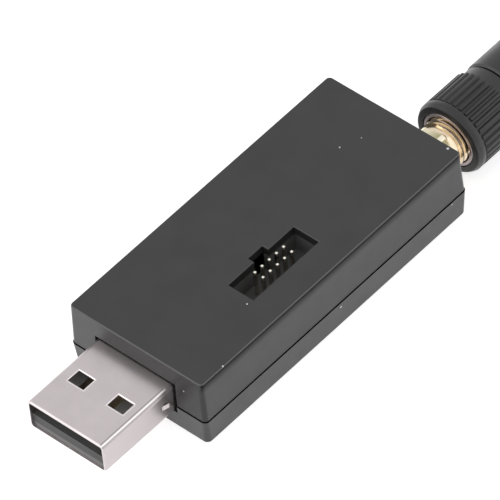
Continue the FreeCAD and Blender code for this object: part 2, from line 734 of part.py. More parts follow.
def make_board_parts():
    small = ("small_part_length", "small_part_width")
    return [
        chip("radio_chip", "radio_chip_x", "radio_chip_y",
             "radio_chip_size", "radio_chip_size", "radio_chip_height"),
        chip("usb_bridge_chip", "regulator_x", "bridge_chip_y",
             "bridge_chip_size", "bridge_chip_size", "bridge_chip_height"),
        chip("voltage_regulator", "regulator_x", "header_y",
             "regulator_length", "regulator_width", "regulator_height"),
        chip("radio_crystal", "radio_crystal_x", "radio_crystal_y",
             "radio_crystal_length", "radio_crystal_width", "crystal_height"),
        chip("clock_crystal", "clock_crystal_x", "radio_crystal_y",
             "clock_crystal_length", "clock_crystal_width", "crystal_height"),
        small_parts("capacitors", row_of(CAPACITOR_COUNT, "radio_chip_x", "chip_row_y")
                    + row_of(CAPACITOR_COUNT, "regulator_x", "bridge_row_y"),
                    *small, "capacitor_height"),
        small_parts("resistors", row_of(RESISTOR_COUNT, "header_x", "resistor_row_y"),
                    *small, "resistor_height"),
        small_parts("filter_coils", row_of(COIL_COUNT, "coil_row_x", "jack_y"),
                    *small, "coil_height"),
        small_parts("status_leds", [("led_x", "led_spacing / 2"), ("led_x", "-led_spacing / 2")],
                    "led_length", "led_width", "led_height"),
    ]


# The plug.

def is_outer_rim(edge):
    """Edges of the mouth that lie on the outside of the plug shell."""
    side = number("plug_width / 2 - shell_thickness / 2")
    rise = number("plug_height / 2 - shell_thickness / 2")
    height = number("plug_axis_height")
    return all(abs(v.Y) > side or abs(v.Z - height) > rise for v in edge.Vertexes)


def make_usb_shell():
    """A tube folded from sheet: its edges meet in a seam along the underside."""
    body = new_body("usb_shell")
    section = new_sketch(body, "section", "YZ_Plane", "plug_front")
    height = "plug_axis_height"
    rounded_rectangle(section, "plug_width / 2", "plug_height / 2", "shell_bend", height)
    rounded_rectangle(section, "plug_width / 2 - shell_thickness",
                      "plug_height / 2 - shell_thickness", "(shell_bend - shell_thickness)",
                      height)
    tube = pad(body, "folded_tube", section, "plug_rear - plug_front")
    mouth_edges = passes(lies_at("x", "plug_front"), is_outer_rim)
    fillet(body, "mouth_edge", tube, mouth_edges, "mouth_round")

    windows = new_sketch(body, "windows", "XY_Plane", "plug_axis_height + plug_height")
    middle = "(plug_front + window_start + window_length / 2)"
    for y in ("window_spacing / 2", "-window_spacing / 2"):
        centred_rectangle(windows, middle, y, "window_length", "window_width")
    cut = pocket(body, "window_cut", windows, "2 * plug_height")
    within = (
        lies_within("x", f"{middle} - window_length", f"{middle} + window_length"),
        lies_within("y", "shell_bend - plug_width / 2", "plug_width / 2 - shell_bend"))
    top_edges = passes(lies_at("z", "plug_axis_height + plug_height / 2"), *within)
    low_edges = passes(lies_at("z", "plug_axis_height - plug_height / 2"), *within)
    fillet(body, "window_edges", cut, lambda edge: top_edges(edge) or low_edges(edge),
           "window_round")

    lances = new_sketch(body, "lances", "XZ_Plane", "-plug_width")
    circle(lances, "lance_x", "plug_axis_height", "lance_radius")
    pocket(body, "lance_cut", lances, "2 * plug_width", backwards=True)
    barbs = new_sketch(body, "barbs", "XY_Plane", "plug_axis_height - barb_width / 2")
    root = "lance_x - lance_radius - shell_thickness / 2"
    for side in ("", "-"):
        outline(barbs, [
            (root, f"{side}(plug_width / 2 - shell_thickness)"),
            (root, f"{side}(plug_width / 2)"),
            (f"{root} + barb_length", f"{side}(plug_width / 2 + barb_rise)"),
            (f"{root} + barb_length", f"{side}(plug_width / 2 - shell_thickness + barb_rise)"),
        ])
    pad(body, "barb_pads", barbs, "barb_width")

    seam = new_sketch(body, "seam", "XY_Plane", "plug_floor")
    rectangle(seam, "plug_front - cut_margin", "plug_rear + cut_margin",
              "-fold_seam / 2", "fold_seam / 2")
    pocket(body, "seam_cut", seam, "cut_margin")

    ears = new_sketch(body, "ears", "XY_Plane", "board_height")
    ear_x = "(plug_rear - ear_setback - ear_length / 2)"
    reach = "(ear_reach + shell_thickness)"
    for side in ("", "-"):
        ear_y = f"{side}(plug_width / 2 - shell_thickness + {reach} / 2)"
        centred_rectangle(ears, ear_x, ear_y, "ear_length", reach)
    pad(body, "solder_ears", ears, "shell_thickness")
    to_plug_middle(body)
    return body


def make_usb_insulator():
    body = new_body("usb_insulator")
    bevel = "shell_bend - shell_thickness"
    block = new_sketch(body, "block", "YZ_Plane", "tongue_root")
    top = "plug_roof - insulator_gap"
    outline(block, [
        (f"-insulator_y + {bevel}", "plug_floor"), (f"insulator_y - ({bevel})", "plug_floor"),
        ("insulator_y", f"plug_floor + {bevel}"), ("insulator_y", f"{top} - ({bevel})"),
        (f"insulator_y - ({bevel})", top), (f"-insulator_y + {bevel}", top),
        ("-insulator_y", f"{top} - ({bevel})"), ("-insulator_y", f"plug_floor + {bevel}"),
    ])
    pad(body, "block_pad", block, "plug_rear - tongue_root")
    tongue = new_sketch(body, "tongue", "YZ_Plane", "tongue_tip")
    outline(tongue, [
        (f"-insulator_y + {bevel}", "plug_floor"), (f"insulator_y - ({bevel})", "plug_floor"),
        ("insulator_y", f"plug_floor + {bevel}"), ("insulator_y", "tongue_top"),
        ("-insulator_y", "tongue_top"), ("-insulator_y", f"plug_floor + {bevel}"),
    ])
    pad(body, "tongue_pad", tongue, "tongue_length")
    tunnels = new_sketch(body, "tunnels", "YZ_Plane", "tongue_root")
    for spacing in ("power_spacing", "data_spacing"):
        for side in ("", "-"):
            centred_rectangle(tunnels, f"{side}{spacing} / 2",
                              "(tongue_top + contact_thickness / 2 + insulator_gap / 2)",
                              "(contact_width + 2 * insulator_gap)",
                              "(contact_thickness + insulator_gap)")
    pocket(body, "tunnel_cut", tunnels, "plug_rear - tongue_root", backwards=True)
    to_plug_middle(body)
    return body


def make_usb_contacts():
    strips = []
    for name, spacing, setback in (("power", "power_spacing", "power_setback"),
                                   ("data", "data_spacing", "data_setback")):
        for hand, side in (("left", ""), ("right", "-")):
            body = new_body(f"{hand}_{name}_contact")
            low = f"-({side}{spacing} / 2) - contact_width / 2"
            profile = new_sketch(body, "bent_strip", "XZ_Plane", low)
            start = f"tongue_tip + {setback}"
            step = "notch_x + contact_thickness"
            outline(profile, [
                (start, "tongue_top"), (step, "tongue_top"), (step, "board_height"),
                (f"{step} + contact_foot", "board_height"),
                (f"{step} + contact_foot", "board_height + contact_thickness"),
                (f"{step} + contact_thickness", "board_height + contact_thickness"),
                (f"{step} + contact_thickness", "tongue_top + contact_thickness"),
                (start, "tongue_top + contact_thickness"),
            ])
            pad(body, "strip", profile, "contact_width")
            to_plug_middle(body)
            strips.append(body)
    return group("usb_contacts", strips)


# The keyed header.

def make_header_housing():
    body = new_body("header_housing")
    base = new_sketch(body, "outside", "XY_Plane", "board_height")
    centred_rectangle(base, "header_x", "header_y", "2 * (cavity_x + header_wall)",
                      "2 * (cavity_y + header_wall)")
    pad(body, "block", base, "header_top - board_height")
    mouth = new_sketch(body, "mouth", "XY_Plane", "header_top")
    outline(mouth, keyed_corners("cavity_x", "cavity_y", "header_wall"))
    pocket(body, "cavity", mouth, "header_top - board_height - header_base")
    holes = new_sketch(body, "pin_holes", "XY_Plane", "board_height + header_base")
    for x, y in pin_places():
        centred_rectangle(holes, x, y, "(pin_size + 2 * pin_fit)", "(pin_size + 2 * pin_fit)")
    pocket(body, "pin_hole_cut", holes, "header_base")
    return body


def make_header_pins():
    pins = []
    for index, (x, y) in enumerate(pin_places(), 1):
        pins.append(box(f"pin_{index}", f"{x} - pin_size / 2", f"{y} - pin_size / 2",
                        "board_bottom - pin_tail", "pin_size", "pin_size",
                        "case_height - pin_drop - board_bottom + pin_tail"))
    return group("header_pins", pins)


# The coaxial jack.

def make_jack_body():
    body = turned("jack_body", [
        ("flange_front", "dielectric_neck"), ("flange_front", "relief_radius"),
        ("thread_start", "relief_radius"), ("thread_start", "thread_radius"),
        ("jack_end - thread_chamfer", "thread_radius"),
        ("jack_end", "thread_radius - thread_chamfer"), ("jack_end", "jack_mouth_radius"),
        ("dielectric_end", "jack_mouth_radius"), ("dielectric_end", "dielectric_radius"),
        ("dielectric_step", "dielectric_radius"), ("dielectric_step", "dielectric_neck"),
    ])
    hexagon = new_sketch(body, "hexagon", "YZ_Plane", "flange_front")
    corners = []
    for step in range(6):
        angle = f"(90 + hex_turn + {60 * step})"
        corners.append((f"hex_radius * cos({angle})", f"hex_radius * sin({angle})"))
    outline(hexagon, corners)
    circle(hexagon, "0", "0", "dielectric_radius")
    pad(body, "hexagon_pad", hexagon, "hex_end - flange_front")

    flange = new_sketch(body, "flange", "YZ_Plane", "flange_front")
    centred_rectangle(flange, "0", "0", "jack_flange_size", "jack_flange_size")
    circle(flange, "0", "0", "dielectric_neck")
    pad(body, "flange_pad", flange, "jack_flange_thickness")

    legs = new_sketch(body, "legs", "YZ_Plane", "flange_front")
    for level in ("(board_height - axis_height + jack_leg_height / 2)",
                  "(board_bottom - axis_height - jack_leg_height / 2)"):
        for side in ("", "-"):
            centred_rectangle(legs, f"{side}jack_leg_spacing / 2", level,
                              "jack_leg_width", "jack_leg_height")
    pad(body, "leg_pads", legs, "jack_leg_length", backwards=True)
    return body


def make_jack_insulator():
    return turned("jack_insulator", [
        ("flange_front", "jack_pin_radius + bush_gap"),
        ("flange_front", "dielectric_neck - bush_gap"),
        ("dielectric_step", "dielectric_neck - bush_gap"),
        ("dielectric_step", "dielectric_radius - bush_gap"),
        ("dielectric_end", "dielectric_radius - bush_gap"),
        ("dielectric_end", "socket_radius + bush_gap"),
        ("socket_step", "socket_radius + bush_gap"),
        ("socket_step", "jack_pin_radius + bush_gap"),
    ])


def make_jack_contact():
    return turned("jack_contact", [
        ("flange_front - jack_pin_length", "0"),
        ("flange_front - jack_pin_length", "jack_pin_radius"),
        ("socket_step", "jack_pin_radius"), ("socket_step", "socket_radius"),
        ("dielectric_end", "socket_radius"), ("dielectric_end", "socket_hole"),
        ("dielectric_end - socket_depth", "socket_hole"), ("dielectric_end - socket_depth", "0"),
    ])


# The antenna's coupling.

def make_collar():
    """The knurled grip: a turned sleeve with raised ribs round it."""
    body = turned("collar", [
        ("collar_front", "nut_radius + nut_fit"), ("collar_front", "collar_rim_radius"),
        ("collar_front + collar_bevel", "collar_radius"), ("ribs_front", "collar_radius"),
        ("ribs_front", "rib_valley"), ("ribs_back", "rib_valley"),
        ("ribs_back", "neck_radius"), ("collar_back", "neck_radius"),
        ("collar_back", "stem_hole"), ("nut_back", "stem_hole"),
        ("nut_back", "nut_radius + nut_fit"),
    ])
    section = new_sketch(body, "rib_section", "YZ_Plane", "ribs_front")
    foot = "rib_valley - (collar_radius - rib_valley) / 2"
    crest = "sqrt(collar_radius ^ 2 - (rib_crest / 2) ^ 2)"
    outline(section, [
        ("-rib_base / 2", foot), ("rib_base / 2", foot),
        ("rib_crest / 2", crest), ("-rib_crest / 2", crest),
    ])
    rib = pad(body, "rib", section, "rib_length")
    ribs = body.newObject("PartDesign::PolarPattern", "ribs")
    ribs.Originals = [rib]
    ribs.Axis = (section, ["N_Axis"])
    ribs.Angle = 360
    ribs.Occurrences = RIB_COUNT
    body.Tip = ribs
    return body


def make_coupling_nut():
    return turned("coupling_nut", [
        ("nut_front", "nut_mouth_radius"), ("nut_front", "nut_radius"),
        ("nut_back", "nut_radius"), ("nut_back", "stem_hole"),
        ("ring_back", "stem_hole"), ("ring_back", "nut_bore"),
        ("nut_front + nut_mouth_depth + nut_mouth_radius - nut_bore", "nut_bore"),
        ("nut_front + nut_mouth_depth", "nut_mouth_radius"),
    ])


def make_retaining_ring():
    body = turned("retaining_ring", [
        ("ring_front", "stem_radius + bush_gap"), ("ring_front", "nut_bore - thread_clearance"),
        ("ring_back", "nut_bore - thread_clearance"), ("ring_back", "stem_radius + bush_gap"),
    ])
    mouth = new_sketch(body, "mouth", "YZ_Plane", "ring_front")
    rectangle(mouth, "-ring_mouth / 2", "ring_mouth / 2", "0", "nut_bore")
    pocket(body, "mouth_cut", mouth, "ring_thickness", backwards=True)
    return body


def make_ferrule():
    return turned("antenna_ferrule", [
        ("jack_end", "ferrule_bore"), ("jack_end", "ferrule_flange_radius"),
        ("ring_front", "ferrule_flange_radius"), ("ring_front", "stem_radius"),
        ("head_front", "stem_radius"), ("head_front", "stem_head_radius"),
        ("head_front + stem_head", "stem_head_radius"), ("head_front + stem_head", "ferrule_throat"),
        ("ferrule_step", "ferrule_throat"), ("ferrule_step", "ferrule_bore"),
    ])


def make_ferrule_insulator():
    return turned("ferrule_insulator", [
        ("jack_end", "centre_pin_radius + bush_gap"), ("jack_end", "ferrule_bore - bush_gap"),
        ("ferrule_step", "ferrule_bore - bush_gap"),
        ("ferrule_step", "centre_pin_cup + bush_gap"),
        ("jack_end + centre_pin_step", "centre_pin_cup + bush_gap"),
        ("jack_end + centre_pin_step", "centre_pin_radius + bush_gap"),
    ])


def make_centre_pin():
    return turned("antenna_centre_pin", [
        ("jack_end - centre_pin_reach", "0"),
        ("jack_end - centre_pin_reach", "centre_pin_radius / 2"),
        ("jack_end - centre_pin_reach + centre_pin_radius / 2", "centre_pin_radius"),
        ("jack_end + centre_pin_step", "centre_pin_radius"),
        ("jack_end + centre_pin_step", "centre_pin_cup"),
        ("ferrule_step", "centre_pin_cup"), ("ferrule_step", "0"),
    ])


# The tilt-and-swivel rod.

def make_swivel_base():
    """A round base whose rear end is a fork with rounded cheeks."""
    end = "hinge_x + swivel_radius"
    outside = "swivel_radius + cut_margin"
    body = turned("swivel_base", [
        ("swivel_front", "stem_hole"), ("swivel_front", "swivel_radius - edge_break"),
        ("swivel_front + edge_break", "swivel_radius"),
        (end, "swivel_radius"), (end, "0"), ("slot_floor - cable_gap", "0"),
        ("slot_floor - cable_gap", "cable_hole"), ("head_back + cable_gap", "cable_hole"),
        ("head_back + cable_gap", "stem_head_radius + running_gap"),
        ("head_front", "stem_head_radius + running_gap"), ("head_front", "stem_hole"),
    ])
    slot = new_sketch(body, "slot", "XY_Plane", "swivel_radius")
    rectangle(slot, "slot_floor", f"{end} + cut_margin", "-slot_width / 2", "slot_width / 2")
    pocket(body, "slot_cut", slot, "2 * swivel_radius")
    cheeks = new_sketch(body, "cheek_ends", "XZ_Plane", "-swivel_radius")
    for side, turn in (("", 1), ("-", -1)):
        outline(cheeks, [
            (end, "0", "swivel_radius", turn), ("hinge_x", f"{side}swivel_radius"),
            ("hinge_x", f"{side}({outside})"),
            (f"{end} + cut_margin", f"{side}({outside})"), (f"{end} + cut_margin", "0"),
        ])
    pocket(body, "cheek_end_cut", cheeks, "2 * swivel_radius", backwards=True)
    hole = new_sketch(body, "pin_hole", "XZ_Plane", "-swivel_radius")
    circle(hole, "hinge_x", "0", "hinge_radius + hinge_fit")
    pocket(body, "pin_hole_cut", hole, "2 * swivel_radius", backwards=True)
    return body


def make_hinge_pin():
    body = new_body("hinge_pin")
    section = new_sketch(body, "section", "XZ_Plane", "-hinge_length / 2")
    circle(section, "hinge_x", "0", "hinge_radius")
    pad(body, "rod", section, "hinge_length")
    to_antenna_axis(body)
    return body


def make_knuckle():
    """The hinge block of the rod: a rounded tongue, a round shoulder and a spigot."""
    body = turned("knuckle", [
        ("shoulder_x", "cable_hole"), ("shoulder_x", "whip_radius - edge_break"),
        ("shoulder_x + edge_break", "whip_radius"), ("whip_foot - edge_break", "whip_radius"),
        ("whip_foot", "whip_radius - edge_break"), ("whip_foot", "spigot_radius"),
        ("spigot_end", "spigot_radius"), ("spigot_end", "cable_hole"),
    ])
    side = new_sketch(body, "tongue", "XZ_Plane", "-knuckle_y")
    outline(side, [
        ("shoulder_x", "knuckle_radius"),
        ("hinge_x", "knuckle_radius", "knuckle_radius", 1),
        ("hinge_x - knuckle_radius", "0", "knuckle_radius", 1),
        ("hinge_x", "-knuckle_radius"), ("shoulder_x", "-knuckle_radius"),
    ])
    circle(side, "hinge_x", "0", "hinge_radius + running_gap")
    pad(body, "tongue_pad", side, "2 * knuckle_y")
    bore = new_sketch(body, "cable_bore", "YZ_Plane", "knuckle_bore")
    circle(bore, "0", "0", "cable_hole")
    pocket(body, "cable_bore_cut", bore, "spigot_end - knuckle_bore", backwards=True)
    return body


def make_whip_sleeve():
    """A tapered sleeve with a closed round tip, pushed over the spigot."""
    return turned("whip_sleeve", [
        ("whip_foot", "spigot_radius + spigot_gap"), ("whip_foot", "whip_radius - edge_break"),
        ("whip_foot + edge_break", "whip_radius"),
        ("whip_tip - tip_round", "tip_radius", "tip_round", -1),
        ("whip_tip", "tip_radius - tip_round"), ("whip_tip", "0"),
        ("whip_tip - tip_wall", "0"), ("whip_tip - tip_wall", "whip_bore"),
        ("spigot_end", "whip_bore"), ("spigot_end", "spigot_radius + spigot_gap"),
    ])


def make_radiator():
    return turned("radiator_tube", [
        ("spigot_end", "radiator_radius - radiator_wall"), ("spigot_end", "radiator_radius"),
        ("radiator_back", "radiator_radius"), ("radiator_back", "cable_radius + bush_gap"),
        ("radiator_back - radiator_end", "cable_radius + bush_gap"),
        ("radiator_back - radiator_end", "radiator_radius - radiator_wall"),
    ])


def make_lower_cable():
    return turned("feed_cable_lower", [
        ("ferrule_step", "0"), ("ferrule_step", "cable_radius"),
        ("slot_floor - cable_gap", "cable_radius"), ("slot_floor - cable_gap", "0"),
    ])


def make_upper_cable():
    return turned("feed_cable_upper", [
        ("knuckle_bore", "0"), ("knuckle_bore", "cable_radius"),
        ("radiator_back", "cable_radius"), ("radiator_back", "wire_radius"),
        ("radiator_back + wire_length", "wire_radius"), ("radiator_back + wire_length", "0"),
    ])


nodes = [
    make_bottom_case(),
    make_top_cover(),
    make_circuit_board(),
    *make_board_parts(),
    make_usb_shell(),
    make_usb_insulator(),
    make_usb_contacts(),
    make_header_housing(),
    make_header_pins(),
    make_jack_body(),
    make_jack_insulator(),
    make_jack_contact(),
    make_collar(),
    make_coupling_nut(),
    make_retaining_ring(),
    make_ferrule(),
    make_ferrule_insulator(),
    make_centre_pin(),
    make_swivel_base(),
    make_hinge_pin(),
    make_knuckle(),
    make_whip_sleeve(),
    make_radiator(),
    make_lower_cable(),
    make_upper_cable(),
]
doc.recompute()

# Every object must be sound before anything is written.
for item in doc.Objects:
    if "Invalid" in item.State or "Error" in item.State:
        raise RuntimeError(f"{item.Name} failed: {item.State}")
for node in nodes:
    if node.Shape.isNull() or not node.Shape.isValid() or not node.Shape.Solids:
        raise RuntimeError(f"{node.Label} has no sound solid")

os.makedirs("parts", exist_ok=True)
for node in nodes:
    node.Shape.exportStep(f"parts/{node.Label}.step")
    size = node.Shape.BoundBox
    print(f"{node.Label:22s} solids {len(node.Shape.Solids):2d} volume {node.Shape.Volume:9.2f} "
          f"x {size.XMin:7.2f} {size.XMax:7.2f} y {size.YMin:7.2f} {size.YMax:7.2f} "
          f"z {size.ZMin:6.2f} {size.ZMax:6.2f}")
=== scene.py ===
import math

import bmesh
import bpy
from mathutils import Matrix, Vector


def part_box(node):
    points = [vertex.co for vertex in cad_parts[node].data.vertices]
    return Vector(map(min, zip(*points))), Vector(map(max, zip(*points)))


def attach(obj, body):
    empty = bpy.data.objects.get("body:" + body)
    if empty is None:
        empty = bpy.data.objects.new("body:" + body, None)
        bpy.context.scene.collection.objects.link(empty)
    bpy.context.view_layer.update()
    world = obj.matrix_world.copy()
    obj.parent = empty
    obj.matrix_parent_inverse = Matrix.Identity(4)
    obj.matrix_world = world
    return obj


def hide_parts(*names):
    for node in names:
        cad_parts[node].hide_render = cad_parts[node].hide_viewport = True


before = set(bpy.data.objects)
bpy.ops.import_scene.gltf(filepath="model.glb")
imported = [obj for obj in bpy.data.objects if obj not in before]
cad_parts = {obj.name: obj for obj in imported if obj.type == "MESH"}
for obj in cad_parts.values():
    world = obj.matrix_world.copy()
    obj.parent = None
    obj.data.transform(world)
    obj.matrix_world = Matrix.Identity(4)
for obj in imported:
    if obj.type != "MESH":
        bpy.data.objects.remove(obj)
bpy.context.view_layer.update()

MM = 0.001

# The camera: the point that it aims near, its angles in radians, how far off it stands, how far
# that point lies off the middle of the picture, and its lens and sensor in millimetres.
AIM = Vector((0.48, 0.0, 4.77)) * MM
AZIMUTH, ELEVATION, ROLL = 0.75913, 0.82753, -0.11819
DISTANCE = 901.3 * MM
OFF_RIGHT, OFF_UP = 2.635 * MM, -0.838 * MM
LENS, SENSOR = 550.8, 36.0


def place_camera():
    """Put the camera where the photograph was taken from."""
    forward = Vector((math.cos(ELEVATION) * math.sin(AZIMUTH),
                      math.cos(ELEVATION) * math.cos(AZIMUTH), -math.sin(ELEVATION)))
    level = Vector((math.cos(AZIMUTH), -math.sin(AZIMUTH), 0.0))
    upright = level.cross(forward)
    right = level * math.cos(ROLL) + upright * math.sin(ROLL)
    up = upright * math.cos(ROLL) - level * math.sin(ROLL)
    data = bpy.data.cameras.new("camera")
    data.lens, data.sensor_width = LENS, SENSOR
    data.clip_start, data.clip_end = 0.05, 20.0
    camera = bpy.data.objects.new("camera", data)
    bpy.context.collection.objects.link(camera)
    stand = AIM - right * OFF_RIGHT - up * OFF_UP - forward * DISTANCE
    turn = Matrix((right, up, -forward)).transposed()
    camera.matrix_world = Matrix.Translation(stand) @ turn.to_4x4()
    bpy.context.scene.camera = camera


place_camera()


# Materials.

# Size of the lumps in which the tone of plastic, its gloss and the tone of metal vary.
PLASTIC_CLOUD, GLOSS_CLOUD, METAL_CLOUD = 5 * MM, 2 * MM, 3 * MM
PLASTIC_UNEVEN = 0.04


def colour(code):
    """The linear colour of an sRGB hex value."""
    parts = [int(code[at:at + 2], 16) / 255 for at in (1, 3, 5)]
    return (*(p / 12.92 if p <= 0.04045 else ((p + 0.055) / 1.055) ** 2.4 for p in parts), 1.0)


def add(tree, kind, sockets=None, **settings):
    """Add a node. A socket is given a value, or another node's output to link to it."""
    node = tree.nodes.new(kind)
    for name, value in settings.items():
        setattr(node, name, value)
    for name, value in (sockets or {}).items():
        if isinstance(value, bpy.types.NodeSocket):
            tree.links.new(value, node.inputs[name])
        else:
            node.inputs[name].default_value = value
    return node


def new_material(name):
    """An empty material, its tree, and the coordinates of the object it is on."""
    material = bpy.data.materials.new(name)
    material.use_nodes = True
    tree = material.node_tree
    tree.nodes.clear()
    return material, tree, add(tree, "ShaderNodeTexCoord").outputs["Object"]


def math_node(tree, operation, *values):
    """One step of arithmetic on values or on other nodes' outputs."""
    return add(tree, "ShaderNodeMath", dict(enumerate(values)), operation=operation).outputs[0]


def noise(tree, place, size, detail=2.0, stretch=None):
    """Noise whose lumps are about size metres, stretched along the axes where asked."""
    if stretch:
        place = add(tree, "ShaderNodeMapping", {"Vector": place, "Scale": stretch}).outputs[0]
    return add(tree, "ShaderNodeTexNoise",
               {"Vector": place, "Scale": 1 / size, "Detail": detail}).outputs["Fac"]


def spread(tree, factor, low, high, start=0.3, end=0.7):
    """Map a range of a value, by default the middle of a noise, to another range."""
    return add(tree, "ShaderNodeMapRange",
               {"Value": factor, "From Min": start, "From Max": end,
                "To Min": low, "To Max": high}).outputs["Result"]


def blend(tree, factor, first, second):
    """Mix two colours by a factor."""
    mix = add(tree, "ShaderNodeMix", data_type="RGBA")
    tree.links.new(factor, mix.inputs["Factor"])
    for name, value in (("A", first), ("B", second)):
        socket = next(s for s in mix.inputs if s.name == name and s.type == "RGBA")
        if isinstance(value, bpy.types.NodeSocket):
            tree.links.new(value, socket)
        else:
            socket.default_value = value
    return next(s for s in mix.outputs if s.type == "RGBA")


def shift(tree, place, tone, axis, other, start, end):
    """Let a colour go over to another one between two places along an axis, in millimetres."""
    along = add(tree, "ShaderNodeSeparateXYZ", {"Vector": place}).outputs[axis]
    return blend(tree, spread(tree, along, 0, 1, start * MM, end * MM), tone, colour(other))


def inside(tree, place, middle, half):
    """One inside a box and nought outside it. The box is given in millimetres."""
    off = add(tree, "ShaderNodeVectorMath", {0: place, 1: Vector(middle) * MM},
              operation="SUBTRACT").outputs[0]
    part = add(tree, "ShaderNodeVectorMath", {0: off, 1: Vector(half) * MM},
               operation="DIVIDE").outputs[0]
    size = add(tree, "ShaderNodeVectorMath", {0: part}, operation="ABSOLUTE").outputs[0]
    x, y, z = add(tree, "ShaderNodeSeparateXYZ", {"Vector": size}).outputs
    most = math_node(tree, "MAXIMUM", math_node(tree, "MAXIMUM", x, y), z)
    return math_node(tree, "LESS_THAN", most, 1.0)


def varied(tree, place, tone, fades, parts):
    """Let a colour go over to others along an axis, or differ inside boxes."""
    for fade in fades:
        tone = shift(tree, place, tone, *fade)
    for middle, half, other in parts:
        tone = blend(tree, inside(tree, place, middle, half), tone, colour(other))
    return tone


def finish(tree, sockets):
    """Close a material with a shader that has these sockets."""
    shader = add(tree, "ShaderNodeBsdfPrincipled", sockets)
    add(tree, "ShaderNodeOutputMaterial", {"Surface": shader.outputs["BSDF"]})


def moulded_plastic(name, dark, light, roughness, grain, depth, dust=(), parts=(), fades=(),
                    shades=(), gloss=0.5):
    """Plastic from a mould: an even satin grain under a soft broad gloss. Fades are changes of
    colour along an axis, parts are boxes in which the colour differs, and shades are boxes of
    painted shade, in which a share of colour and gloss is lost between two places along an axis."""
    material, tree, place = new_material(name)
    clouds = spread(tree, noise(tree, place, PLASTIC_CLOUD), 0, 1)
    tone = varied(tree, place, blend(tree, clouds, colour(dark), colour(light)), fades, parts)
    rough = spread(tree, noise(tree, place, GLOSS_CLOUD),
                   roughness - PLASTIC_UNEVEN, roughness + PLASTIC_UNEVEN)
    for middle, half, axis, start, end, other, share in shades:
        along = add(tree, "ShaderNodeSeparateXYZ", {"Vector": place}).outputs[axis]
        shade = math_node(tree, "MULTIPLY", inside(tree, place, middle, half),
                          spread(tree, along, 0, share, start * MM, end * MM))
        tone = blend(tree, shade, tone, colour(other))
        gloss = math_node(tree, "MULTIPLY", spread(tree, shade, 1, 0, 0, 1), gloss)
    speck = None
    for point, radius in dust:
        far = add(tree, "ShaderNodeVectorMath", {0: place, 1: Vector(point) * MM},
                  operation="DISTANCE").outputs["Value"]
        near = math_node(tree, "LESS_THAN", far, radius * MM)
        speck = math_node(tree, "MAXIMUM", speck, near) if speck else near
    if speck:
        tone = blend(tree, speck, tone, colour(DUST_COLOUR))
    bump = add(tree, "ShaderNodeBump",
               {"Height": noise(tree, place, grain, 3.0), "Strength": 1.0, "Distance": depth})
    finish(tree, {"Base Color": tone, "Roughness": rough, "IOR": 1.5,
                  "Specular IOR Level": gloss, "Normal": bump.outputs["Normal"]})
    return material


def plated_metal(name, dark, light, roughness, grain, depth, stretch, uneven=0.03, fades=(),
                 parts=()):
    """A plated metal whose fine lines follow the way it was rolled, drawn or turned. Fades and
    parts are as for plastic."""
    material, tree, place = new_material(name)
    clouds = spread(tree, noise(tree, place, METAL_CLOUD), 0, 1)
    tone = varied(tree, place, blend(tree, clouds, colour(dark), colour(light)), fades, parts)
    lines = noise(tree, place, grain, 2.0, stretch)
    rough = spread(tree, lines, roughness - uneven, roughness + uneven)
    bump = add(tree, "ShaderNodeBump", {"Height": lines, "Strength": 1.0, "Distance": depth})
    finish(tree, {"Base Color": tone, "Metallic": 1.0, "Roughness": rough,
                  "Normal": bump.outputs["Normal"]})
    return material


# Dust on the case: where each speck lies and its radius, in millimetres.
DUST_COLOUR = "#e8e8e8"
DUST = [((22.65, -8.73, 10.25), 0.16), ((15.04, 1.63, 10.25), 0.1),
        ((-10.32, -6.15, 10.25), 0.1), ((-19.23, -10.3, 10.2), 0.12),
        ((17.77, 0.58, 10.25), 0.07), ((-23.28, -7.44, 7.42), 0.12),
        ((20.58, -10.62, 3.5), 0.1), ((0.47, -10.62, 3.15), 0.15)]

# Painted light and shade on case and grip. Parts have the middle of a box, half its size and a
# colour. Shades also have an axis, the places between which they set in, and the share that is
# lost at most.

# The walls of the cut-out are darkened with painted shade, as dark as the header, and the
# edges of the top carry a bright painted highlight.
CUTOUT_SHADE = ((-3.6, -3.9, 9.35), (5.85, 2.6, 0.86), "#282828")
TOP_EDGE_HIGHLIGHT = ((0, 0, 10.155), (30, 20, 0.075), "#565658")
# Painted shade, which also takes away gloss: the long side that faces the camera is darker
# towards its upper edge, the end that holds the plug is darker over the plug, and so is the seam.
LONG_SIDE_SHADE = ((0, -10.6, 9.0), (30, 0.45, 1.04), "Z", 8.7, 10.05, "#0c0c0c", 1)
PLUG_END_SHADE = ((-23.4, -1.9, 7.0), (0.6, 9.0, 3.04), "Y", 6.2, 4.6, "#262627", 0.35)
SEAM_SHADE = ((0, 0, 3.91), (30, 20, 0.075), "Z", 3.5, 3.6, "#060606", 1)
# The flat front of the grip, which faces the case, is darker too, with painted shade.
GRIP_FACE_SHADE = ((27.1, -4.49, 5.15), (0.14, 6, 6), "X", 26.8, 26.9, "#1c1c1c", 0.45)

ABS = moulded_plastic("black ABS, spark-eroded mould", "#313132", "#373738", 0.34,
                      0.3 * MM, 0.005 * MM, DUST, (TOP_EDGE_HIGHLIGHT, CUTOUT_SHADE),
                      shades=(LONG_SIDE_SHADE, PLUG_END_SHADE, SEAM_SHADE))
NYLON = moulded_plastic("black nylon, satin mould", "#2c2c2d", "#313132", 0.36,
                        0.25 * MM, 0.004 * MM, shades=[GRIP_FACE_SHADE])
# The tongue is lighter towards the lower edge of its front, painted light, and its top behind the
# front edge is a middle grey, painted shade under the top of the shell. Further in it turns light
# grey.
TONGUE = moulded_plastic("dark grey PBT, polished mould", "#383838", "#3e3e3e", 0.35,
                         0.5 * MM, 0.002 * MM, gloss=0.3,
                         fades=(("Z", "#7c7c7c", 3.95, 3.55),
                                ("X", "#565656", -34.98, -34.9),
                                ("X", "#a8a8a8", -33.5, -32.5)))
